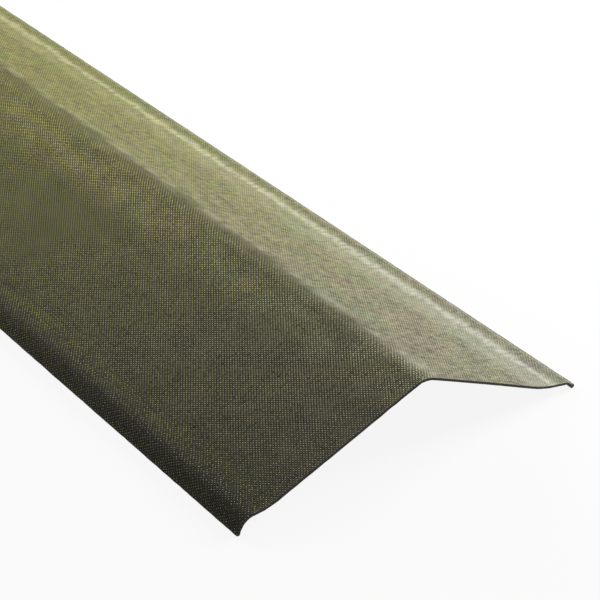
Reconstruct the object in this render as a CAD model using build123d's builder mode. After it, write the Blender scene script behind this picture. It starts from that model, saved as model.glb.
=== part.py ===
"""Verge flashing: one pressed sheet of bitumen-saturated fibre, sold by the length.

The sheet is folded once along its middle into a rounded ridge with a wide wing
and a slightly narrower one. Each wing runs out through a shallow valley into a
flatter strip, the flare, and the flare ends in a lip that turns down. The
pressed edge of each lip is swollen into a bead, and the sheet stands on both.

Sizes are in millimetres and angles in degrees from level. The length runs
along X, Z is up and the wide wing is on the -Y side. The origin is on the
floor, under the middle of the sheet.
"""

import os
from math import cos, radians, sin

from build123d import *

# The stock that the sheet is pressed from
sheet_length = 1100.0
sheet_thickness = 2.6

# The fold along the middle: its radius on the underside
ridge_radius = 20.0

# The wide wing, from its lip to the ridge
wide_lip_width = 13.0
wide_lip_angle = 61.0
wide_lip_radius = 13.0
wide_flare_width = 21.5
wide_flare_angle = 2.0
wide_valley_radius = 60.0
wide_wing_width = 164.0
wide_wing_angle = 21.2

# The narrow wing, from the ridge to its lip; its width follows from the height it comes down
narrow_wing_angle = 25.4
narrow_valley_radius = 105.0
narrow_flare_width = 27.5
narrow_flare_angle = 11.8
narrow_lip_width = 8.6
narrow_lip_angle = 37.5
narrow_lip_radius = 3.0

# The swollen edge of each lip, and the hollow curve that leads into it
bead_radius = 2.1
bead_blend_radius = 4.0


def across_and_up(width: float, angle: float) -> Vector:
    """How far a strip of the section reaches, for its width and its angle from level."""
    return Vector(width * cos(radians(angle)), width * sin(radians(angle)))


def bead_centre(lip_end: Vector, lip_angle: float) -> Vector:
    """The middle of the sheet's thickness at a lip's end, for the lip's angle from level."""
    return lip_end + across_and_up(sheet_thickness / 2, lip_angle + 90)


# The underside of the section, strip by strip: both lips end at the same level
wide_lip_end = Vector(0, 0)
wide_lip_top = wide_lip_end + across_and_up(wide_lip_width, wide_lip_angle)
wide_valley = wide_lip_top + across_and_up(wide_flare_width, wide_flare_angle)
ridge = wide_valley + across_and_up(wide_wing_width, wide_wing_angle)

wide_bead = bead_centre(wide_lip_end, wide_lip_angle)
bead_level_change = wide_bead.Y - bead_centre(wide_lip_end, -narrow_lip_angle).Y

narrow_lip_fall = across_and_up(narrow_lip_width, -narrow_lip_angle)
narrow_flare_fall = across_and_up(narrow_flare_width, -narrow_flare_angle)
narrow_wing_height = ridge.Y + narrow_lip_fall.Y + narrow_flare_fall.Y - bead_level_change
narrow_wing_width = narrow_wing_height / sin(radians(narrow_wing_angle))

narrow_valley = ridge + across_and_up(narrow_wing_width, -narrow_wing_angle)
narrow_lip_top = narrow_valley + narrow_flare_fall
narrow_lip_end = narrow_lip_top + narrow_lip_fall
narrow_bead = bead_centre(narrow_lip_end, -narrow_lip_angle)

# The section of the sheet: its underside line, thickened upwards, with a bead at each end
with BuildSketch() as section:
    with BuildLine():
        FilletPolyline(
            wide_lip_end,
            wide_lip_top,
            wide_valley,
            ridge,
            narrow_valley,
            narrow_lip_top,
            narrow_lip_end,
            radius=[
                wide_lip_radius,
                wide_valley_radius,
                ridge_radius,
                narrow_valley_radius,
                narrow_lip_radius,
            ],
        )
        offset(amount=sheet_thickness, side=Side.LEFT)
    make_face()
    with Locations(wide_bead, narrow_bead):
        Circle(bead_radius)
    bead_necks = (
        section.vertices().sort_by_distance(wide_bead)[0:2]
        + section.vertices().sort_by_distance(narrow_bead)[0:2]
    )
    fillet(bead_necks, radius=bead_blend_radius)

# The sheet stands on its beads, with the middle of its width over the origin
outline = section.sketch.bounding_box()
section_plane = Plane(
    origin=(0, -outline.center().X, -outline.min.Y),
    x_dir=(0, 1, 0),
    z_dir=(1, 0, 0),
)

with BuildPart() as verge_sheet:
    with BuildSketch(section_plane):
        add(section.sketch)
    extrude(amount=sheet_length / 2, both=True)

os.makedirs("parts", exist_ok=True)
verge_sheet.part.label = "verge_sheet"
export_step(verge_sheet.part, "parts/verge_sheet.step")
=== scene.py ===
"""Looks of the verge flashing: one pressed sheet with a woven emboss, a green coat and cut ends.

Everything is in metres, in the frame of the solid: the length runs along X, Z is up and the
wide wing is on the -Y side. The near end, which the camera sees, is on the +X side.
"""

import logging
from dataclasses import dataclass, field
from enum import IntEnum
from math import ceil, copysign, cos, hypot, pi, radians, sin, sqrt, tan
from typing import Any

import bmesh
import bpy
from mathutils import Euler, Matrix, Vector


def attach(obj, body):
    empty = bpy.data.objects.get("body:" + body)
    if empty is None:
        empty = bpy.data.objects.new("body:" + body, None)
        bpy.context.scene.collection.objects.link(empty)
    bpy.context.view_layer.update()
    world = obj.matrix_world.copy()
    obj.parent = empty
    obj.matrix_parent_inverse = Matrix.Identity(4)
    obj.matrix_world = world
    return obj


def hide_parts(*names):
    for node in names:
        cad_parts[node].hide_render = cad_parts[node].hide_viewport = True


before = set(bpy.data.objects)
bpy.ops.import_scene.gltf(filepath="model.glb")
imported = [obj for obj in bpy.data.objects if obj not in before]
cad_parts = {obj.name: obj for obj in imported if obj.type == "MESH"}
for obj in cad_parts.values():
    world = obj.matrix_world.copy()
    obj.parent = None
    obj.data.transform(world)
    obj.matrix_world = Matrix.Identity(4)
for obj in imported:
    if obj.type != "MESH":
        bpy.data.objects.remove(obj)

log = logging.getLogger("verge_flashing")

Colour = tuple[float, float, float]
Point = tuple[float, float]
# Two numbers that go together, such as a strength for each wing
Pair = tuple[float, float]
# Where a soft step begins and ends and, unless they are 0 and 1, what it goes from and to
Step = tuple[float, ...]

WHITE = (1.0, 1.0, 1.0, 1.0)
CUBIC_CENTIMETRES = 1e6


class Face(IntEnum):
    """The three kinds of surface on the sheet, which are also its material slots."""

    COATED = 0
    BARE = 1
    CUT = 2


@dataclass(frozen=True)
class Wire:
    """An output socket that Python expressions work on: each operator adds one Math node."""

    bench: "Bench"
    socket: bpy.types.NodeSocket

    def maths(self, operation: str, *operands: "Wire | float", clamp: bool = False) -> "Wire":
        """Adds one Math node.

        Args:
            operation: The Math node's operation.
            operands: Its inputs in order, wires or numbers.
            clamp: Whether the result is kept between 0 and 1.

        Returns:
            The node's result.
        """
        settings = {"operation": operation, "use_clamp": clamp}
        return self.bench.put("ShaderNodeMath", settings, dict(enumerate(operands)))[0]

    def __add__(self, other: "Wire | float") -> "Wire":
        """This plus other."""
        return self.maths("ADD", self, other)

    def __radd__(self, other: float) -> "Wire":
        """Other plus this."""
        return self.maths("ADD", other, self)

    def __sub__(self, other: "Wire | float") -> "Wire":
        """This minus other."""
        return self.maths("SUBTRACT", self, other)

    def __rsub__(self, other: float) -> "Wire":
        """Other minus this."""
        return self.maths("SUBTRACT", other, self)

    def __mul__(self, other: "Wire | float") -> "Wire":
        """This times other."""
        return self.maths("MULTIPLY", self, other)

    def __rmul__(self, other: float) -> "Wire":
        """Other times this."""
        return self.maths("MULTIPLY", other, self)

    def __pow__(self, other: "Wire | float") -> "Wire":
        """This to the power of other."""
        return self.maths("POWER", self, other)

    def __neg__(self) -> "Wire":
        """This with its sign turned."""
        return self.maths("MULTIPLY", self, -1.0)

    def __abs__(self) -> "Wire":
        """This without its sign."""
        return self.maths("ABSOLUTE", self)

    def __gt__(self, other: "Wire | float") -> "Wire":
        """1 where this is above other, 0 elsewhere."""
        return self.maths("GREATER_THAN", self, other)

    def cosine(self) -> "Wire":
        """The cosine of this, in radians."""
        return self.maths("COSINE", self)

    def sine(self) -> "Wire":
        """The sine of this, in radians."""
        return self.maths("SINE", self)

    def higher(self, other: "Wire | float") -> "Wire":
        """The larger of this and other."""
        return self.maths("MAXIMUM", self, other)

    def equals(self, other: float) -> "Wire":
        """1 where this is within a hundredth of other, 0 elsewhere."""
        return self.maths("COMPARE", self, other, 0.01)

    def kept(self) -> "Wire":
        """This, kept between 0 and 1."""
        return self.maths("MULTIPLY", self, 1.0, clamp=True)

    def centred(self) -> "Wire":
        """This noise about its middle, so mostly between -0.25 and 0.25."""
        return self - 0.5

    def homeward(self) -> "Wire":
        """-1 where this is above 0, and 1 elsewhere: which way 0 lies."""
        return 1.0 - 2.0 * (self > 0.0)

    def between(self, start: float, end: float) -> "Wire":
        """A number that goes from start, where this is 0, to end, where this is 1."""
        return start + (end - start) * self

    def eased(
        self,
        start: "Wire | float",
        end: "Wire | float",
        low: float = 0.0,
        high: float = 1.0,
    ) -> "Wire":
        """A soft step on this.

        Args:
            start: Where the step begins.
            end: Where it ends; it may be below start.
            low: What the step goes from.
            high: What it goes to.

        Returns:
            Low before start, high after end and a smooth change between them.
        """
        settings = {"interpolation_type": "SMOOTHSTEP"}
        sockets = {0: self, 1: start, 2: end, 3: low, 4: high}
        return self.bench.put("ShaderNodeMapRange", settings, sockets)[0]

    def bell(self, centre: "Wire | float", half_width: "Wire | float") -> "Wire":
        """A soft band on this: 1 at centre and 0 from half_width away."""
        return abs(self - centre).eased(half_width, 0.0)


@dataclass(frozen=True)
class Placed:
    """A node in its tree, whose outputs are read with square brackets."""

    bench: "Bench"
    node: bpy.types.Node

    def __getitem__(self, output: int | str) -> Wire:
        """The output of that place or name."""
        return Wire(self.bench, self.node.outputs[output])


@dataclass(frozen=True)
class Bench:
    """Where the nodes of one tree are laid out and joined."""

    tree: bpy.types.NodeTree

    def put(
        self,
        kind: str,
        settings: dict[str, Any] | None = None,
        sockets: dict[int | str, Any] | None = None,
    ) -> Placed:
        """Adds a node.

        Args:
            kind: The node's type.
            settings: Its own settings, which are set first.
            sockets: Values or wires for its inputs, by place or name.

        Returns:
            The node, whose outputs can be read.
        """
        node = self.tree.nodes.new(kind)
        for name, value in (settings or {}).items():
            setattr(node, name, value)
        for key, value in (sockets or {}).items():
            if isinstance(value, Wire):
                self.tree.links.new(value.socket, node.inputs[key])
            else:
                node.inputs[key].default_value = value
        return Placed(self, node)

    def shape(
        self,
        kind: str,
        sockets: dict[int | str, Any],
        settings: dict[str, Any] | None = None,
    ) -> Wire:
        """Adds a node that changes geometry, and gives the changed geometry."""
        return self.put(kind, settings, sockets)["Geometry"]

    def spot(self, x: "Wire | float", y: "Wire | float", z: "Wire | float") -> Wire:
        """The vector of three numbers."""
        return self.put("ShaderNodeCombineXYZ", None, {0: x, 1: y, 2: z})[0]

    def axes(self, vector: Wire) -> Placed:
        """A vector's three numbers, by place."""
        return self.put("ShaderNodeSeparateXYZ", None, {0: vector})

    def position(self) -> Placed:
        """Each point's x, y and z, by place."""
        return self.axes(self.put("GeometryNodeInputPosition")[0])

    def kept_value(self, name: str, kind: str = "FLOAT") -> Wire:
        """A value that the geometry keeps under a name."""
        settings = {"data_type": kind}
        return self.put("GeometryNodeInputNamedAttribute", settings, {"Name": name})["Attribute"]

    def tint(
        self,
        factor: "Wire | float",
        first: "Wire | Colour",
        second: "Wire | Colour",
        blend: str = "MIX",
    ) -> Wire:
        """Blends two colours.

        Args:
            factor: How much of the second colour there is.
            first: The first colour.
            second: The second colour.
            blend: The way that they are blended.

        Returns:
            The blended colour.
        """
        sockets = {0: factor}
        for key, colour in ((6, first), (7, second)):
            sockets[key] = colour if isinstance(colour, Wire) else (*colour, 1.0)
        settings = {"data_type": "RGBA", "blend_type": blend}
        return self.put("ShaderNodeMix", settings, sockets)[2]

    def stain(self, share: Wire, colour: Wire, dye: "Wire | Colour") -> Wire:
        """Multiplies a colour by a dye, over a share of it."""
        return self.tint(share, colour, dye, "MULTIPLY")


@dataclass(frozen=True)
class Pattern:
    """A soft noise pattern on the flat sheet.

    The scale is how many blotches there are to a metre, the detail how many finer layers it has
    and the roughness how strong those are. The seed and the level say which of its patterns it
    is, and the stretch how much of the distance along and across it takes.
    """

    scale: float
    detail: float = 2.0
    roughness: float = 0.5
    seed: float = 0.0
    stretch: Pair = (1.0, 1.0)
    level: float = 0.0

    def at(self, bench: Bench, vector: Wire, shift: "Wire | float" = 0.0) -> Wire:
        """Reads the pattern.

        Args:
            bench: The tree that it is read in.
            vector: Where it is read.
            shift: A number added to its seed.

        Returns:
            The noise, mostly between 0.25 and 0.75.
        """
        sockets = {
            "Vector": vector,
            "W": shift + self.seed,
            "Scale": self.scale,
            "Detail": self.detail,
            "Roughness": self.roughness,
        }
        return bench.put("ShaderNodeTexNoise", {"noise_dimensions": "4D"}, sockets)[0]

    def read(
        self,
        bench: Bench,
        along: Wire,
        across: Wire,
        shift: "Wire | float" = 0.0,
    ) -> Wire:
        """Reads the pattern at a place on the flat sheet.

        Args:
            bench: The tree that it is read in.
            along: The place along the length.
            across: The place across the sheet.
            shift: A number added to its seed.

        Returns:
            The noise, mostly between 0.25 and 0.75.
        """
        spot = bench.spot(along * self.stretch[0], across * self.stretch[1], self.level)
        return self.at(bench, spot, shift)


@dataclass(frozen=True)
class Weave:
    """The plain weave that is pressed into both faces of the sheet, in metres."""

    rib_pitch: float = 0.00192
    thread_pitch: float = 0.00140
    waver: float = 0.00035
    drift: Pattern = Pattern(55.0)
    crown_sharpness: float = 1.8
    sunk_share: float = 0.16

    def height(self, bench: Bench, along: Wire, across: Wire) -> Wire:
        """The relief of the weave.

        Args:
            bench: The tree that it is made in.
            along: The place along the length.
            across: The place across the sheet, measured over its surface.

        Returns:
            0 in the deepest gaps and 1 on the crowns of the threads.
        """
        waver = self.drift.read(bench, along, across).centred() * self.waver
        ribs = (along + waver) * (pi / self.rib_pitch)
        threads = (across + waver) * (pi / self.thread_pitch)
        over = ribs.cosine() * threads.cosine()
        raised = over.higher(0.0) ** self.crown_sharpness
        sunk = (-over).higher(0.0) ** self.crown_sharpness
        return raised.higher(sunk * self.sunk_share)


@dataclass(frozen=True)
class Finish:
    """What every finish of the sheet shares: how it takes the light, and its relief's depth."""

    name: str
    roughness: float
    specular: float
    relief: float
    sheen: float = 0.0
    sheen_roughness: float = 0.5
    sheen_tint: Colour = (1.0, 1.0, 1.0)

    def dress(self, bench: Bench) -> tuple[Wire, Wire, Wire]:
        """What varies over the finish: its colour, its roughness and its relief from 0 to 1."""
        raise NotImplementedError

    def place(self, bench: Bench) -> tuple[Wire, Wire, Wire]:
        """The sheet's own coordinates: along, across and depth."""
        own = bench.axes(bench.put("ShaderNodeAttribute", {"attribute_name": "sheet_place"})["Vector"])
        return own[0], own[1], own[2]

    def material(self) -> bpy.types.Material:
        """Makes the finish's material."""
        material = bpy.data.materials.new(self.name)
        material.use_nodes = True
        material.node_tree.nodes.clear()
        bench = Bench(material.node_tree)
        colour, roughness, height = self.dress(bench)
        sockets = {"Strength": 1.0, "Distance": self.relief, "Height": height}
        bump = bench.put("ShaderNodeBump", None, sockets)["Normal"]
        sockets = {
            "Base Color": colour,
            "Roughness": roughness,
            "Normal": bump,
            "Specular IOR Level": self.specular,
            "Sheen Weight": self.sheen,
            "Sheen Roughness": self.sheen_roughness,
            "Sheen Tint": (*self.sheen_tint, 1.0),
        }
        shader = bench.put("ShaderNodeBsdfPrincipled", None, sockets)["BSDF"]
        bench.put("ShaderNodeOutputMaterial", None, {"Surface": shader})
        return material


@dataclass(frozen=True)
class CoatGround:
    """What the coat is coloured by: a point's place on the sheet, and the patterns there.

    Height is the weave's relief, far grows from 0 to 1 towards the far end, beyond is the
    distance across from a line that leaves the ridge a little towards the far end, on the
    narrow wing's side, and narrow is 1 on the narrow wing.
    Lip shade is the share of painted shade that darkens the wide wing towards its lip, and
    tone how light the coat is before it is coloured.
    """

    bench: Bench
    along: Wire
    across: Wire
    height: Wire
    far: Wire
    beyond: Wire
    narrow: Wire
    lip_shade: Wire
    tone: Wire
    grain: Wire
    streak: Wire
    cloud: Wire
    blots: Wire


@dataclass(frozen=True)
class HuePatches:
    """Large soft patches that lean to blue-green or to purple-brown, stronger on the narrow wing."""

    blue_green: Colour = (0.90, 1.02, 0.96)
    purple_brown: Colour = (1.03, 0.965, 1.06)
    patches: Pattern = Pattern(20.0, seed=3.0)
    blue_step: Step = (0.50, 0.64)
    purple_step: Step = (0.49, 0.36)
    strength: Pair = (0.55, 1.0)

    def over(self, ground: CoatGround, colour: Wire) -> Wire:
        """The colour with the patches laid over it."""
        bench = ground.bench
        patches = self.patches.read(bench, ground.along, ground.across)
        strength = ground.narrow.between(*self.strength)
        colour = bench.stain(patches.eased(*self.blue_step) * strength, colour, self.blue_green)
        return bench.stain(patches.eased(*self.purple_step) * strength, colour, self.purple_brown)


@dataclass(frozen=True)
class CrestPaintedShadeAndLight:
    """Painted shade over the ridge's crest, and painted light on a strip of the wide wing below.

    A pair of strengths is for the near and for the far end.
    """

    # Painted shade and painted light, each for the near and for the far end
    shade: Colour = (0.32, 0.32, 0.29)
    light: Colour = (1.75, 1.74, 1.58)
    far_crest_painted_shade: Colour = (0.34, 0.34, 0.15)
    far_crest_painted_light: Colour = (1.72, 1.72, 2.00)
    wide_side: Step = (-0.016, 0.008)
    narrow_side: Step = (0.024, 0.000)
    near_end: Step = (0.552, 0.42)
    painted_shade_patches: Step = (0.60, 0.44, 0.80, 1.00)
    painted_light_middle: float = -0.020
    painted_light_half_width: float = 0.040
    painted_light_strength: Pair = (0.58, 1.0)
    painted_light_patches: Step = (0.40, 0.60, 0.90, 1.08)

    def over(self, ground: CoatGround, colour: Wire) -> Wire:
        """The colour with the crest's painted shade and painted light laid over it."""
        bench, across, far = ground.bench, ground.across, ground.far
        # Painted shade over the crest, mostly away from the near end, in patches
        crest = across.eased(*self.wide_side) * ground.beyond.eased(*self.narrow_side)
        crest = crest * ground.along.eased(*self.near_end)
        shaded = crest * ground.blots.eased(*self.painted_shade_patches)
        colour = bench.stain(shaded, colour, bench.tint(far, self.shade, self.far_crest_painted_shade))
        # Painted light on a strip of the wide wing below the crest
        strip = across.bell(self.painted_light_middle, self.painted_light_half_width)
        painted_light_share = strip * far.between(*self.painted_light_strength) * ground.cloud.eased(*self.painted_light_patches)
        return bench.stain(painted_light_share.kept(), colour, bench.tint(far, self.light, self.far_crest_painted_light))


@dataclass(frozen=True)
class WideLipSmearsAndPaintedShade:
    """The wide edge: yellow-green smears along its fold, and painted shade sparing the crowns.

    A pair of strengths is for the near and for the far end.
    """

    yellow_green: Colour = (1.40, 1.43, 0.72)
    # Painted shade: the colour that darkens the wide wing towards its lip
    lip_shade_colour: Colour = (0.10, 0.097, 0.075)
    fold_middle: float = -0.166
    fold_half_width: float = 0.015
    smears: Pattern = Pattern(90.0, 3.0, seed=5.0, stretch=(0.20, 1.0))
    smear_step: Step = (0.34, 0.60)
    smear_strength: Pair = (0.7, 1.3)
    spared_crowns: Step = (0.30, 0.85, 1.00, 0.42)

    def over(self, ground: CoatGround, colour: Wire) -> Wire:
        """The colour with the smears and the painted shade laid over it."""
        bench = ground.bench
        smears = self.smears.read(bench, ground.along, ground.across).eased(*self.smear_step)
        fold = ground.across.bell(self.fold_middle, self.fold_half_width)
        smeared = fold * smears * ground.far.between(*self.smear_strength)
        colour = bench.stain(smeared.kept(), colour, self.yellow_green)
        # Painted shade towards the wide lip, lighter on the weave's crowns
        painted_lip_shade = ground.lip_shade * ground.tone.eased(*self.spared_crowns)
        return bench.stain(painted_lip_shade, colour, self.lip_shade_colour)


@dataclass(frozen=True)
class FarTonesAndPaintedLight:
    """Far end: yellower, with painted light on the wide wing and painted shade on the narrow."""

    # Painted light on the wide wing and painted shade on the narrow one, both yellower
    wide: Colour = (1.30, 1.32, 0.50)
    narrow: Colour = (0.86, 0.86, 0.33)

    def over(self, ground: CoatGround, colour: Wire) -> Wire:
        """The colour with the far end's tones, painted light and painted shade laid over it."""
        bench, far = ground.bench, ground.far
        colour = bench.stain(far * (1.0 - ground.narrow), colour, self.wide)
        return bench.stain(far * ground.narrow, colour, self.narrow)


@dataclass(frozen=True)
class RubbedFoldsAndPaintedSheen:
    """Pale places: a worn bright line along the narrow valley, a paler valley, painted sheen on
    the narrow flare, and a strip along the crest that is part wear, part painted highlight.

    A pair of strengths is for the near and for the far end.
    """

    # The pale colour of worn coat, also used for painted sheen and painted highlight
    rubbed_and_sheen: Colour = (0.62, 0.62, 0.56)
    far_rubbed_and_sheen: Colour = (0.62, 0.62, 0.34)
    line_middle: float = 0.1529
    line_wander: float = 0.010
    wander: Pattern = Pattern(34.0, 3.0, seed=7.0)
    line_half_width: Step = (0.38, 0.62, 0.0055, 0.0120)
    line_breaks: Step = (0.36, 0.60, 0.45, 1.15)
    line_strength: float = 0.38
    valley_rise: Step = (0.100, 0.150)
    valley_fall: Step = (0.166, 0.152)
    valley_strength: Pair = (0.14, 0.04)
    # Painted sheen on the narrow flare
    flare_sheen_step: Step = (0.108, 0.146, 0.0, 0.09)
    drawn_shade: Colour = (0.58, 0.65, 0.58)
    drawn_lines: Pattern = Pattern(620.0, roughness=0.6, seed=4.0, stretch=(0.10, 1.0))
    drawn_place: Step = (0.157, 0.163)
    drawn_step: Step = (0.42, 0.60)
    drawn_strength: float = 0.7
    # A pale strip along the crest: part wear, part painted highlight
    crest_highlight_middle: float = 0.012
    crest_highlight_half_width: float = 0.014
    crest_highlight_patches: Step = (0.42, 0.60)
    crest_highlight_strength: float = 0.20

    def worn(self, ground: CoatGround) -> Wire:
        """How pale the narrow valley and its flare are: a worn broken line, and painted sheen."""
        across = ground.across
        wander = self.wander.read(ground.bench, ground.along, across).centred()
        middle = self.line_middle + self.line_wander * wander
        line = across.bell(middle, ground.blots.eased(*self.line_half_width))
        line = line * ground.streak.eased(*self.line_breaks) * self.line_strength
        valley = across.eased(*self.valley_rise) * across.eased(*self.valley_fall)
        valley = valley * ground.far.between(*self.valley_strength)
        # The flare's share is painted sheen
        return (line + valley + across.eased(*self.flare_sheen_step)).kept()

    def over(self, ground: CoatGround, colour: Wire) -> Wire:
        """The colour with wear, painted sheen and highlight, and the narrow lip's drawn lines."""
        bench, across = ground.bench, ground.across
        rubbed_and_sheen = bench.tint(ground.far, self.rubbed_and_sheen, self.far_rubbed_and_sheen)
        colour = bench.tint(self.worn(ground), colour, rubbed_and_sheen)
        lines = self.drawn_lines.read(bench, ground.along, across)
        drawn = across.eased(*self.drawn_place) * lines.eased(*self.drawn_step)
        colour = bench.stain(drawn * self.drawn_strength, colour, self.drawn_shade)
        # A pale strip along the crest: part wear, part painted highlight
        ridge = ground.beyond.bell(self.crest_highlight_middle, self.crest_highlight_half_width)
        ridge = ridge * ground.blots.eased(*self.crest_highlight_patches)
        return bench.tint(ridge * self.crest_highlight_strength, colour, rubbed_and_sheen)


@dataclass(frozen=True)
class FrayedEnds:
    """The coat's rim at the two cuts, where the fibre shows through."""

    frayed: Colour = (0.24, 0.23, 0.22)
    rim: Step = (0.5465, 0.5498)
    breaks: Step = (0.40, 0.60, 0.20, 1.00)
    strength: float = 0.45

    def over(self, ground: CoatGround, colour: Wire) -> Wire:
        """The colour with the frayed rims laid over it."""
        rim = abs(ground.along).eased(*self.rim) * ground.grain.eased(*self.breaks)
        return ground.bench.tint(rim * self.strength, colour, self.frayed)


@dataclass(frozen=True)
class GreenCoat(Finish):
    """The matt olive coat on the upper face: light weave crowns, painted shade in its gaps.

    A pair of strengths is for the wide wing and for the narrow one.
    """

    name: str = "green_coat"
    roughness: float = 0.78
    specular: float = 0.16
    relief: float = 0.00060
    sheen: float = 0.14
    sheen_roughness: float = 0.45
    sheen_tint: Colour = (0.90, 0.84, 0.58)
    weave: Weave = Weave()
    # Painted shade: the colour deep in the weave's gaps
    gap_painted_shade: Colour = (0.010, 0.009, 0.006)
    crown: Colour = (0.97, 0.92, 0.60)
    grain: Pattern = Pattern(520.0, roughness=0.7)
    streak: Pattern = Pattern(230.0, roughness=0.6, seed=1.0, stretch=(1.0, 0.45))
    cloud: Pattern = Pattern(48.0, 3.0, 0.6, seed=2.0, stretch=(0.7, 1.0))
    blots: Pattern = Pattern(26.0, 3.0, 0.6, seed=9.0, stretch=(1.0, 1.4))
    far_step: Step = (0.70, -0.28)
    crest_drift: float = 0.020
    narrow_step: Step = (-0.010, 0.020)
    # Where painted shade darkens the wide wing towards its lip, and how much
    lip_shade_wander: float = 0.022
    lip_shade_on_wing: Step = (-0.060, -0.160, 0.0, 0.30)
    lip_shade_on_lip: Step = (-0.140, -0.180, 0.0, 0.70)
    crown_tone: float = 0.92
    speckle: Pair = (4.6, 1.6)
    # More speckle under the painted shade on the wide wing
    lip_shade_speckle: float = 2.4
    weave_strength: Pair = (1.0, 0.55)
    streak_strength: Pair = (0.15, 0.51)
    cloud_strength: Pair = (0.14, 0.26)
    gap_tone: Pair = (0.030, 0.086)
    relief_strength: Pair = (1.25, 0.45)
    grain_roughness: float = 0.15

    def ground(self, bench: Bench) -> CoatGround:
        """Reads the place and the patterns, and works out the coat's tone from them."""
        along, across, _ = self.place(bench)
        height = self.weave.height(bench, along, across)
        grain = self.grain.read(bench, along, across)
        streak = self.streak.read(bench, along, across)
        cloud = self.cloud.read(bench, along, across)
        blots = self.blots.read(bench, along, across)
        far = along.eased(*self.far_step)
        beyond = across - far * self.crest_drift
        narrow = beyond.eased(*self.narrow_step)
        # Painted shade on the wide wing, growing towards its lip along a wandering edge
        edge = across + self.lip_shade_wander * blots.centred()
        lip_shade = edge.eased(*self.lip_shade_on_wing) + edge.eased(*self.lip_shade_on_lip)
        speckle = grain.centred() * (narrow.between(*self.speckle) + lip_shade * self.lip_shade_speckle)
        tone = height * (self.crown_tone + speckle) * narrow.between(*self.weave_strength)
        tone = tone + streak.centred() * narrow.between(*self.streak_strength)
        tone = tone + cloud.centred() * narrow.between(*self.cloud_strength)
        tone = tone + narrow.between(*self.gap_tone)
        return CoatGround(
            bench, along, across, height, far, beyond, narrow, lip_shade, tone, grain, streak, cloud, blots
        )

    def dress(self, bench: Bench) -> tuple[Wire, Wire, Wire]:
        """The coat's colour, its roughness and its relief."""
        ground = self.ground(bench)
        # From painted shade in the weave's gaps to the light crowns
        colour = bench.tint(ground.tone.kept(), self.gap_painted_shade, self.crown)
        for layer in (HuePatches(), CrestPaintedShadeAndLight(), WideLipSmearsAndPaintedShade(), FarTonesAndPaintedLight(), RubbedFoldsAndPaintedSheen(), FrayedEnds()):
            colour = layer.over(ground, colour)
        roughness = self.roughness + self.grain_roughness * ground.grain.centred()
        return colour, roughness, ground.height * ground.narrow.between(*self.relief_strength)


@dataclass(frozen=True)
class BareBitumen(Finish):
    """The uncoated underside: dark bitumen-soaked fibre with the same emboss."""

    name: str = "bare_bitumen"
    roughness: float = 0.58
    specular: float = 0.45
    relief: float = 0.00025
    weave: Weave = Weave()
    # Painted shade: the colour deep in the weave's gaps
    gap_painted_shade: Colour = (0.008, 0.007, 0.006)
    crown: Colour = (0.062, 0.054, 0.045)
    blotches: Pattern = Pattern(14.0, 5.0, 0.65, level=1.0)
    blotch_step: Step = (0.35, 0.70, 0.0, 0.6)
    weave_strength: float = 0.6
    blotch_roughness: float = 0.25

    def dress(self, bench: Bench) -> tuple[Wire, Wire, Wire]:
        """The underside's colour, its roughness and its relief."""
        along, across, _ = self.place(bench)
        height = self.weave.height(bench, along, across)
        blotches = self.blotches.read(bench, along, across)
        tone = height * self.weave_strength + blotches.eased(*self.blotch_step)
        # From painted shade in the weave's gaps to the crowns
        colour = bench.tint(tone.kept(), self.gap_painted_shade, self.crown)
        return colour, self.roughness + self.blotch_roughness * blotches.centred(), height


@dataclass(frozen=True)
class CutFibre(Finish):
    """The cut ends: dark fibre board with the coat as a thin line at its top."""

    name: str = "cut_fibre"
    roughness: float = 0.8
    specular: float = 0.3
    relief: float = 0.00025
    board: Colour = (0.030, 0.023, 0.022)
    fibre: Colour = (0.110, 0.082, 0.074)
    coat: Colour = (0.085, 0.085, 0.060)
    strands: Pattern = Pattern(1400.0, 3.0, 0.7)
    strand_step: Step = (0.40, 0.75)
    strand_roughness: float = 0.2
    coat_depth: Step = (0.14, 0.04, 0.0, 0.8)

    def dress(self, bench: Bench) -> tuple[Wire, Wire, Wire]:
        """The cut's colour, its roughness and its relief."""
        _, _, depth = self.place(bench)
        strands = self.strands.at(bench, bench.put("ShaderNodeTexCoord")["Object"])
        colour = bench.tint(strands.eased(*self.strand_step), self.board, self.fibre)
        colour = bench.tint(depth.eased(*self.coat_depth), colour, self.coat)
        return colour, self.roughness + self.strand_roughness * strands.centred(), strands


@dataclass(frozen=True)
class Station:
    """One place across the section: a row of points from the upper face to the underside."""

    rows: tuple[Point, ...]
    across: float


@dataclass
class SectionWalk:
    """A walk along the section's underside, which leaves a station at each step.

    The distance walked is measured on the middle of the sheet's thickness.
    """

    thickness: float
    shares: list[float]
    y: float
    z: float
    heading: float
    walked: float = 0.0
    stations: list[Station] = field(default_factory=list)

    def leave_station(self) -> None:
        """Leaves the row of points that stands square on the underside here."""
        up_y, up_z = -sin(self.heading) * self.thickness, cos(self.heading) * self.thickness
        rows = tuple((self.y + up_y * s, self.z + up_z * s) for s in self.shares)
        self.stations.append(Station(rows, self.walked))

    def ahead(self, run: float, step: float) -> None:
        """Walks straight on for a run, in even steps no longer than step."""
        steps = ceil(run / step)
        for _ in range(steps):
            self.y += run / steps * cos(self.heading)
            self.z += run / steps * sin(self.heading)
            self.walked += run / steps
            self.leave_station()

    def around(self, turn: float, radius: float, step: float) -> None:
        """Walks round an arc, in even steps no larger than step.

        Args:
            turn: The angle of the turn, in radians; a turn upwards is positive.
            radius: The arc's radius on the underside.
            step: The largest angle of a step, in radians.
        """
        side, steps = copysign(1.0, turn), ceil(abs(turn) / step)
        hub_y = self.y - side * radius * sin(self.heading)
        hub_z = self.z + side * radius * cos(self.heading)
        middle = radius - side * self.thickness / 2
        for _ in range(steps):
            self.heading += turn / steps
            self.y = hub_y + side * radius * sin(self.heading)
            self.z = hub_z - side * radius * cos(self.heading)
            self.walked += middle * abs(turn) / steps
            self.leave_station()


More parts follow.
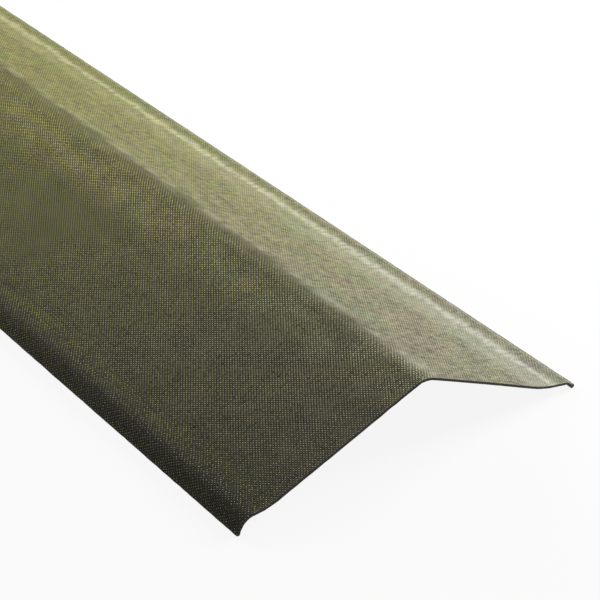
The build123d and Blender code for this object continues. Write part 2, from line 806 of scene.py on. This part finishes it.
@dataclass(frozen=True)
class SheetSection:
    """The sheet's section, drawn from its driving sizes, in metres and degrees from level.

    Layers is how many rows of faces there are through the thickness. The steps say how finely
    the runs, the arcs and the hollow curve into a bead are divided, and the angles where the
    points of a bead lie, from 0 towards the strip.
    """

    thickness: float = 0.0026
    ridge_radius: float = 0.020
    wide_lip_width: float = 0.013
    wide_lip_angle: float = 61.0
    wide_lip_radius: float = 0.013
    wide_flare_width: float = 0.0215
    wide_flare_angle: float = 2.0
    wide_valley_radius: float = 0.060
    wide_wing_width: float = 0.164
    wide_wing_angle: float = 21.2
    narrow_wing_angle: float = 25.4
    narrow_valley_radius: float = 0.105
    narrow_flare_width: float = 0.0275
    narrow_flare_angle: float = 11.8
    narrow_lip_width: float = 0.0086
    narrow_lip_angle: float = 37.5
    narrow_lip_radius: float = 0.003
    bead_radius: float = 0.0021
    bead_blend_radius: float = 0.004
    layers: int = 4
    run_step: float = 0.006
    turn_step: float = 3.0
    blend_steps: int = 3
    bead_angles: tuple[float, ...] = (75.0, 90.0, 105.0, 120.0, 135.0)
    tip_angles: Pair = (150.0, 210.0)

    def narrow_wing_width(self) -> float:
        """The narrow wing's width, which brings both beads down to the same level."""
        rise = (
            self.wide_lip_width * sin(radians(self.wide_lip_angle))
            + self.wide_flare_width * sin(radians(self.wide_flare_angle))
            + self.wide_wing_width * sin(radians(self.wide_wing_angle))
        )
        fall = (
            self.narrow_flare_width * sin(radians(self.narrow_flare_angle))
            + self.narrow_lip_width * sin(radians(self.narrow_lip_angle))
        )
        wide_tilt, narrow_tilt = cos(radians(self.wide_lip_angle)), cos(radians(self.narrow_lip_angle))
        level = self.thickness / 2 * (wide_tilt - narrow_tilt)
        return (rise - fall - level) / sin(radians(self.narrow_wing_angle))

    def neck_reach(self) -> float:
        """How far from the middle of a bead the hollow curve into it begins."""
        blend = self.bead_blend_radius
        return sqrt((self.bead_radius + blend) ** 2 - (self.thickness / 2 + blend) ** 2)

    def strip_stations(self) -> list[Station]:
        """The stations between the two necks.

        Returns:
            The stations, walked along the underside from the wide lip to the narrow lip, with
            the distance across measured from the ridge on the middle of the sheet.
        """
        widths = [self.wide_lip_width, self.wide_flare_width, self.wide_wing_width]
        widths += [self.narrow_wing_width(), self.narrow_flare_width, self.narrow_lip_width]
        angles = [self.wide_lip_angle, self.wide_flare_angle, self.wide_wing_angle]
        angles += [-self.narrow_wing_angle, -self.narrow_flare_angle, -self.narrow_lip_angle]
        radii = [self.wide_lip_radius, self.wide_valley_radius, self.ridge_radius]
        radii += [self.narrow_valley_radius, self.narrow_lip_radius]
        turns = [radians(after - before) for before, after in zip(angles, angles[1:])]
        neck, heading = self.neck_reach(), radians(angles[0])
        taken = [neck] + [r * tan(abs(t) / 2) for r, t in zip(radii, turns)] + [neck]

        shares = [1 - k / self.layers for k in range(self.layers + 1)]
        walk = SectionWalk(
            self.thickness, shares, neck * cos(heading), neck * sin(heading), heading
        )
        walk.leave_station()
        walk.ahead(widths[0] - taken[0] - taken[1], self.run_step)
        crest = 0.0
        for i, (turn, radius) in enumerate(zip(turns, radii)):
            begun = walk.walked
            walk.around(turn, radius, radians(self.turn_step))
            if angles[i] > 0 > angles[i + 1]:
                crest = (begun + walk.walked) / 2
            walk.ahead(widths[i + 1] - taken[i + 1] - taken[i + 2], self.run_step)
        return [Station(s.rows, s.across - crest) for s in walk.stations]

    def bead_middle(self, neck: Station, inward: Point) -> Point:
        """The middle of the bead that a neck leads to."""
        reach, top, under = self.neck_reach(), neck.rows[0], neck.rows[-1]
        y, z = (top[0] + under[0]) / 2, (top[1] + under[1]) / 2
        return y - inward[0] * reach, z - inward[1] * reach

    def bead_stations(self, neck: Station, inward: Point) -> list[Station]:
        """The stations of one swollen edge.

        Args:
            neck: The strip's last station on that side.
            inward: The direction from the bead into the strip.

        Returns:
            The stations from the neck outwards; the last is on the bead's round end.
        """
        reach, radius, blend = self.neck_reach(), self.bead_radius, self.bead_blend_radius
        top, under = neck.rows[0], neck.rows[-1]
        up = ((top[0] - under[0]) / self.thickness, (top[1] - under[1]) / self.thickness)
        hub = self.bead_middle(neck, inward)
        side = copysign(1.0, -inward[0])

        def at(u: float, v: float) -> Point:
            """The point u towards the strip and v up from the bead's middle."""
            return hub[0] + inward[0] * u + up[0] * v, hub[1] + inward[1] * u + up[1] * v

        touch = reach * radius / (radius + blend)
        pace = (touch - reach) / self.blend_steps
        hollow = [reach + pace * k for k in range(1, self.blend_steps + 1)]
        rise = self.thickness / 2 + blend
        halves = [(u, rise - sqrt(blend**2 - (u - reach) ** 2)) for u in hollow]
        halves += [(radius * cos(a), radius * sin(a)) for a in map(radians, self.bead_angles)]
        stations = []
        for u, v in halves:
            rows = tuple(at(u, v * (1 - 2 * k / self.layers)) for k in range(self.layers + 1))
            stations.append(Station(rows, neck.across + side * (reach - u)))
        first, last = self.tip_angles
        tips = [radians(first + (last - first) * k / self.layers) for k in range(self.layers + 1)]
        rows = tuple(at(radius * cos(a), radius * sin(a)) for a in tips)
        return stations + [Station(rows, neck.across + side * (reach + radius))]

    def stations(self) -> list[Station]:
        """Every station from the wide bead to the narrow one, set on the floor and centred."""
        strip = self.strip_stations()
        wide, narrow = radians(self.wide_lip_angle), radians(self.narrow_lip_angle)
        wide_end = strip[0], (cos(wide), sin(wide))
        narrow_end = strip[-1], (-cos(narrow), sin(narrow))
        whole = self.bead_stations(*wide_end)[::-1] + strip + self.bead_stations(*narrow_end)
        wide_bead, narrow_bead = self.bead_middle(*wide_end), self.bead_middle(*narrow_end)
        shift_y, shift_z = -(wide_bead[0] + narrow_bead[0]) / 2, self.bead_radius - wide_bead[1]
        return [Station(tuple((y + shift_y, z + shift_z) for y, z in s.rows), s.across) for s in whole]

    def rim(self, count: int) -> list[int]:
        """The places of the rim's points, in order round the section, for a count of stations."""
        deep = self.layers + 1
        last = (count - 1) * deep
        upper_face = [i * deep for i in range(count)]
        narrow_tip = [last + k for k in range(1, deep)]
        underside = [i * deep + self.layers for i in range(count - 2, -1, -1)]
        wide_tip = list(range(self.layers - 1, 0, -1))
        return upper_face + narrow_tip + underside + wide_tip

    def mesh(self) -> bpy.types.Mesh:
        """The section as a flat mesh.

        Returns:
            Quads in the YZ plane, with each point's distance across the sheet, its depth from
            the upper face as a share, and the outward direction at the section's rim.
        """
        stations, deep = self.stations(), self.layers + 1
        points = [(0.0, y, z) for s in stations for y, z in s.rows]
        corners = [i * deep + k for i in range(len(stations) - 1) for k in range(self.layers)]
        quads = [(c, c + deep, c + deep + 1, c + 1) for c in corners]
        mesh = bpy.data.meshes.new("sheet_section")
        mesh.from_pydata(points, [], quads)
        outward = [(0.0, 0.0, 0.0)] * len(points)
        rim = self.rim(len(stations))
        for before, here, after in zip(rim[-1:] + rim[:-1], rim, rim[1:] + rim[:1]):
            dy, dz = points[after][1] - points[before][1], points[after][2] - points[before][2]
            outward[here] = (0.0, -dz / hypot(dy, dz), dy / hypot(dy, dz))
        values = {
            "across": [s.across for s in stations for _ in s.rows],
            "depth": [k / self.layers for _ in stations for k in range(deep)],
        }
        for name, numbers in values.items():
            mesh.attributes.new(name, "FLOAT", "POINT").data.foreach_set("value", numbers)
        flat = [number for direction in outward for number in direction]
        mesh.attributes.new("outward", "FLOAT_VECTOR", "POINT").data.foreach_set("vector", flat)
        return mesh


@dataclass
class PressedSheet:
    """The whole flashing: the section run along the length, with worn edges and cut ends.

    The finishes are in the order of Face. Rows is how many places there are along the length,
    and end crowding how far they gather at both ends. A step on a distance is in metres.
    """

    section: SheetSection = SheetSection()
    finishes: tuple[Finish, ...] = (GreenCoat(), BareBitumen(), CutFibre())
    length: float = 1.1
    rows: int = 250
    end_crowding: float = 0.9
    edge_round: float = 0.00025
    wave_height: float = 0.0007
    ragged_depth: float = 0.0006
    corner_depth: float = 0.0004
    seed: int = 11
    weld_distance: float = 1e-6
    sharp_angle: float = 50.0
    bare_depth: float = 0.5
    rim_width: float = 1e-5
    swells: Pattern = Pattern(9.0)
    nibbles: Pattern = Pattern(60.0, 3.0, 0.6, seed=1.0)
    cuts: Pattern = Pattern(150.0, 3.0, 0.7, seed=2.0)
    free_sheet: Step = (0.004, 0.045)
    stiff_ridge: Step = (0.045, 0.0)
    ragged_step: Step = (0.35, 0.75)
    worn_edge: Step = (0.012, 0.0)
    worn_end: Step = (0.012, 0.0)
    worn_corner: Step = (0.006, 0.0)

    def sizes(self) -> dict[str, float]:
        """The sizes that the Geometry Nodes tree asks for, by the names of its inputs."""
        return {
            "Length": self.length,
            "Rows": self.rows,
            "End Crowding": self.end_crowding,
            "Edge Round": self.edge_round,
            "Wave Height": self.wave_height,
            "Ragged Depth": self.ragged_depth,
            "Corner Depth": self.corner_depth,
            "Seed": self.seed,
        }

    def stored(
        self,
        geometry: Wire,
        name: str,
        value: "Wire | float",
        domain: str,
        kind: str = "FLOAT",
    ) -> Wire:
        """Keeps a value on the geometry under a name.

        Args:
            geometry: What it is kept on.
            name: The attribute's name.
            value: The value.
            domain: Whether points or faces hold it.
            kind: The attribute's type.

        Returns:
            The geometry with the value.
        """
        sockets = {"Geometry": geometry, "Name": name, "Value": value}
        settings = {"data_type": kind, "domain": domain}
        return geometry.bench.shape("GeometryNodeStoreNamedAttribute", sockets, settings)

    def outline(self, bench: Bench, section: Wire) -> Wire:
        """The section's rim as a closed line, turned to stand square on the line of the run."""
        faces = bench.put("GeometryNodeInputMeshEdgeNeighbors")["Face Count"]
        sockets = {"Mesh": section, "Selection": faces.equals(1)}
        rim = bench.put("GeometryNodeMeshToCurve", None, sockets)["Curve"]
        at = bench.position()
        sockets = {"Geometry": rim, "Position": bench.spot(-at[1], -at[2], 0.0)}
        return bench.shape("GeometryNodeSetPosition", sockets)

    def line(self, bench: Bench, asked: Placed) -> Wire:
        """The line that the section is run along, with its points gathered at both ends."""
        sockets = {"Start": (-0.5, 0.0, 0.0), "End": (0.5, 0.0, 0.0)}
        line = bench.put("GeometryNodeCurvePrimitiveLine", None, sockets)["Curve"]
        sockets = {"Curve": line, "Count": asked["Rows"]}
        line = bench.put("GeometryNodeResampleCurve", None, sockets)["Curve"]
        even = 2.0 * bench.put("GeometryNodeSplineParameter")["Factor"] - 1.0
        gathered = (even * (pi / 2)).sine()
        crowding = asked["End Crowding"]
        x = asked["Length"] * 0.5 * (even * (1.0 - crowding) + gathered * crowding)
        sockets = {"Geometry": line, "Position": bench.spot(x, 0.0, 0.0)}
        return bench.shape("GeometryNodeSetPosition", sockets)

    def shell(self, bench: Bench, asked: Placed) -> Wire:
        """The run of the section closed by the section itself at both ends, as one shell."""
        section, length = asked["Section"], asked["Length"]
        sockets = {"Curve": self.line(bench, asked), "Profile Curve": self.outline(bench, section)}
        run = bench.put("GeometryNodeCurveToMesh", None, sockets)["Mesh"]
        bare = bench.kept_value("depth") > self.bare_depth
        run = self.stored(run, "face_kind", bare * float(Face.BARE), "FACE")
        end = self.stored(section, "face_kind", float(Face.CUT), "FACE")
        join = bench.put("GeometryNodeJoinGeometry")
        bench.tree.links.new(run.socket, join.node.inputs[0])
        for half in (0.5, -0.5):
            sockets = {"Geometry": end, "Translation": bench.spot(length * half, 0.0, 0.0)}
            cap = bench.shape("GeometryNodeTransform", sockets)
            bench.tree.links.new(cap.socket, join.node.inputs[0])
        sockets = {"Geometry": join["Geometry"], "Distance": self.weld_distance}
        return bench.shape("GeometryNodeMergeByDistance", sockets)

    def shaded(self, bench: Bench, whole: Wire) -> Wire:
        """The shell shaded smooth, but for its sharp edges."""
        sockets = {"Geometry": whole, "Shade Smooth": True}
        whole = bench.shape("GeometryNodeSetShadeSmooth", sockets, {"domain": "FACE"})
        angle = bench.put("GeometryNodeInputMeshEdgeAngle")["Unsigned Angle"]
        sharp = angle > radians(self.sharp_angle)
        sockets = {"Geometry": whole, "Selection": sharp, "Shade Smooth": False}
        return bench.shape("GeometryNodeSetShadeSmooth", sockets, {"domain": "EDGE"})

    def wear(self, bench: Bench, asked: Placed, across: Wire) -> Wire:
        """How far each point is moved by handling and by the cut, into the sheet's own box.

        Args:
            bench: The tree that it is made in.
            asked: The tree's named inputs.
            across: Each point's distance across the sheet.

        Returns:
            The offset of each point.
        """
        at = bench.position()
        x, y = at[0], at[1]
        stations = self.section.stations()
        first, last = stations[0].across, stations[-1].across
        from_edge = (last - first) / 2 - abs(across - (first + last) / 2)
        from_end = asked["Length"] * 0.5 - abs(x)
        seed = asked["Seed"]

        swell = self.swells.read(bench, x, across, seed)
        free = from_edge.eased(*self.free_sheet)
        ridge = abs(across).eased(*self.stiff_ridge)
        rising = swell.centred() * free * 2.0 * (1.0 - ridge)
        wave = asked["Wave Height"] * (rising - ridge * swell * free)

        nibble = self.nibbles.read(bench, x, y > 0.0, seed).eased(*self.ragged_step)
        ragged = asked["Ragged Depth"] * nibble * from_edge.eased(*self.worn_edge)
        inward = ragged * y.homeward()

        cut = self.cuts.read(bench, x > 0.0, across, seed).eased(*self.ragged_step)
        at_end = from_end.eased(*self.worn_end)
        blunt = asked["Corner Depth"] * from_edge.eased(*self.worn_corner) * at_end
        shortened = (asked["Ragged Depth"] * cut * at_end + blunt) * x.homeward()

        rounded = asked["Edge Round"] * (self.rim_width - from_end > 0.0)
        sockets = {0: bench.kept_value("outward", "FLOAT_VECTOR"), "Scale": -rounded}
        drawn_in = bench.put("ShaderNodeVectorMath", {"operation": "SCALE"}, sockets)[0]
        sockets = {0: drawn_in, 1: bench.spot(shortened, inward, wave)}
        return bench.put("ShaderNodeVectorMath", {"operation": "ADD"}, sockets)[0]

    def tree(
        self, materials: list[bpy.types.Material]
    ) -> tuple[bpy.types.NodeTree, dict[str, str]]:
        """The Geometry Nodes tree that runs the section along the length.

        Args:
            materials: One for each kind of face, in the order of Face.

        Returns:
            The tree, and its inputs' identifiers by name.
        """
        tree = bpy.data.node_groups.new("run_of_sheet", "GeometryNodeTree")
        asking = tree.interface
        asking.new_socket("Section", in_out="INPUT", socket_type="NodeSocketGeometry")
        asking.new_socket("Sheet", in_out="OUTPUT", socket_type="NodeSocketGeometry")
        identifiers = {}
        for name, size in self.sizes().items():
            kind = "NodeSocketInt" if isinstance(size, int) else "NodeSocketFloat"
            socket = asking.new_socket(name, in_out="INPUT", socket_type=kind)
            identifiers[name] = socket.identifier

        bench = Bench(tree)
        asked = bench.put("NodeGroupInput")
        across, depth = bench.kept_value("across"), bench.kept_value("depth")
        place = bench.spot(bench.position()[0], across, depth)
        whole = self.shell(bench, asked)
        whole = self.stored(whole, "sheet_place", place, "POINT", "FLOAT_VECTOR")
        sockets = {"Geometry": whole, "Offset": self.wear(bench, asked, across)}
        whole = self.shaded(bench, bench.shape("GeometryNodeSetPosition", sockets))

        whole = bench.shape("GeometryNodeRealizeInstances", {"Geometry": whole})
        kind = bench.kept_value("face_kind")
        for face, material in zip(Face, materials):
            selection = kind.equals(float(face))
            sockets = {"Geometry": whole, "Selection": selection, "Material": material}
            whole = bench.shape("GeometryNodeSetMaterial", sockets)
        bench.put("NodeGroupOutput", None, {"Sheet": whole})
        return tree, identifiers

    def build(self) -> bpy.types.Object:
        """Makes the sheet.

        Returns:
            One closed mesh object, which stands for the solid.
        """
        materials = [finish.material() for finish in self.finishes]
        tree, identifiers = self.tree(materials)
        plan = self.section.mesh()
        for material in materials:
            plan.materials.append(material)
        draft = bpy.data.objects.new("section_draft", plan)
        bpy.context.scene.collection.objects.link(draft)
        modifier = draft.modifiers.new("run", "NODES")
        modifier.node_group = tree
        for name, size in self.sizes().items():
            modifier[identifiers[name]] = size
        ready = draft.evaluated_get(bpy.context.evaluated_depsgraph_get())
        mesh = bpy.data.meshes.new_from_object(ready)
        draft.modifiers.remove(modifier)
        bpy.data.objects.remove(draft)
        self.close(mesh)
        sheet = bpy.data.objects.new("pressed_sheet", mesh)
        bpy.context.scene.collection.objects.link(sheet)
        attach(sheet, "root")
        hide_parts("verge_sheet")
        return sheet

    def close(self, mesh: bpy.types.Mesh) -> None:
        """Turns every face of a mesh outwards, names it, and drops its empty material slots."""
        shell = bmesh.new()
        shell.from_mesh(mesh)
        bmesh.ops.recalc_face_normals(shell, faces=shell.faces)
        open_edges = sum(not edge.is_manifold for edge in shell.edges)
        volume = shell.calc_volume(signed=True) * CUBIC_CENTIMETRES
        log.info("sheet: %d faces, %d open edges, %.1f cm3", len(shell.faces), open_edges, volume)
        shell.to_mesh(mesh)
        shell.free()
        for slot in reversed(range(len(mesh.materials))):
            if mesh.materials[slot] is None:
                mesh.materials.pop(index=slot)
        mesh.name = "pressed_sheet"


@dataclass(frozen=True)
class Softbox:
    """A soft lamp that faces the middle of the sheet, in metres and watts."""

    name: str
    place: tuple[float, float, float]
    size: Point
    power: float

    def hang(self) -> None:
        """Hangs the lamp in its place."""
        lamp = bpy.data.lights.new(self.name, "AREA")
        lamp.shape, lamp.energy = "RECTANGLE", self.power
        lamp.size, lamp.size_y = self.size
        holder = bpy.data.objects.new(self.name, lamp)
        holder.location = self.place
        holder.rotation_euler = Vector(self.place).to_track_quat("Z", "Y").to_euler()
        bpy.context.scene.collection.objects.link(holder)


@dataclass
class Studio:
    """The pale floor and the soft light that the sheet is seen in.

    The key is a tall lamp behind the narrow wing, and the fill a weak one past the far end.
    """

    floor_size: float = 14.0
    floor_drop: float = 0.0001
    floor_colour: Colour = (0.88, 0.88, 0.87)
    floor_white: float = 0.90
    ambient: float = 0.03
    key: Softbox = Softbox("key_softbox", (0.45, 1.55, 0.68), (1.2, 1.1), 50.0)
    fill: Softbox = Softbox("fill_softbox", (-1.9, 0.0, 1.0), (1.0, 1.0), 33.0)

    def white_rays(self, bench: Bench) -> Wire:
        """1 for the rays that see the background: camera, glossy and transmission rays."""
        rays = bench.put("ShaderNodeLightPath")
        seen = rays["Is Camera Ray"] + rays["Is Glossy Ray"] + rays["Is Transmission Ray"]
        return seen.kept()

    def floor(self) -> bpy.types.Object:
        """Makes the floor, which is near white and keeps the sheet's shadow."""
        half = self.floor_size / 2
        corners = [(-half, -half), (half, -half), (half, half), (-half, half)]
        mesh = bpy.data.meshes.new("studio_floor")
        mesh.from_pydata([(x, y, -self.floor_drop) for x, y in corners], [], [(0, 1, 2, 3)])
        material = bpy.data.materials.new("pale_floor")
        material.use_nodes = True
        material.node_tree.nodes.clear()
        bench = Bench(material.node_tree)
        sockets = {"Color": (*self.floor_colour, 1.0)}
        matt = bench.put("ShaderNodeBsdfDiffuse", None, sockets)["BSDF"]
        sockets = {"Color": WHITE, "Strength": 1.0}
        white = bench.put("ShaderNodeEmission", None, sockets)["Emission"]
        sockets = {0: self.white_rays(bench) * self.floor_white, 1: matt, 2: white}
        mixed = bench.put("ShaderNodeMixShader", None, sockets)[0]
        bench.put("ShaderNodeOutputMaterial", None, {"Surface": mixed})
        mesh.materials.append(material)
        floor = bpy.data.objects.new("studio_floor", mesh)
        bpy.context.scene.collection.objects.link(floor)
        return floor

    def surround(self) -> None:
        """Makes the surroundings: white to look at, and a soft even light on the sheet."""
        world = bpy.data.worlds.new("pale_surroundings")
        world.use_nodes = True
        world.node_tree.nodes.clear()
        bench = Bench(world.node_tree)
        sockets = {"Color": WHITE, "Strength": self.ambient}
        soft = bench.put("ShaderNodeBackground", None, sockets)[0]
        white = bench.put("ShaderNodeBackground", None, {"Color": WHITE, "Strength": 1.0})[0]
        sockets = {0: self.white_rays(bench), 1: soft, 2: white}
        mixed = bench.put("ShaderNodeMixShader", None, sockets)[0]
        bench.put("ShaderNodeOutputWorld", None, {"Surface": mixed})
        bpy.context.scene.world = world

    def light(self) -> None:
        """Hangs the key lamp and the fill lamp."""
        for softbox in (self.key, self.fill):
            softbox.hang()


@dataclass
class PhotographCamera:
    """The camera at the photograph's place, in metres, with its lens in millimetres.

    The yaw is in degrees from the sheet's length, and the pitch in degrees below level.
    """

    location: tuple[float, float, float] = (1.5981, -0.8808, 0.9854)
    yaw: float = 36.18
    pitch: float = 31.45
    lens: float = 125.07
    sensor: float = 36.0
    clip: Pair = (0.05, 50.0)

    def build(self) -> bpy.types.Object:
        """Makes the camera and gives it to the scene."""
        data = bpy.data.cameras.new("photograph_camera")
        data.lens, data.sensor_width = self.lens, self.sensor
        data.clip_start, data.clip_end = self.clip
        camera = bpy.data.objects.new("photograph_camera", data)
        camera.location = self.location
        camera.rotation_euler = Euler((radians(90.0 - self.pitch), 0.0, radians(90.0 - self.yaw)))
        bpy.context.scene.collection.objects.link(camera)
        bpy.context.scene.camera = camera
        return camera


def main() -> None:
    """Builds the sheet and its surroundings."""
    logging.basicConfig(level=logging.INFO, format="%(name)s: %(message)s")
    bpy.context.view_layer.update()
    bpy.context.scene.view_settings.view_transform = "Standard"
    sheet = PressedSheet().build()
    for slot, material in enumerate(sheet.data.materials):
        shown = sum(polygon.material_index == slot for polygon in sheet.data.polygons)
        log.info("%s: %d faces of %s", sheet.name, shown, material.name)
    studio = Studio()
    log.info("%s laid", studio.floor().name)
    studio.surround()
    studio.light()
    log.info("%s set", PhotographCamera().build().name)


if __name__ == "__main__":
    main()
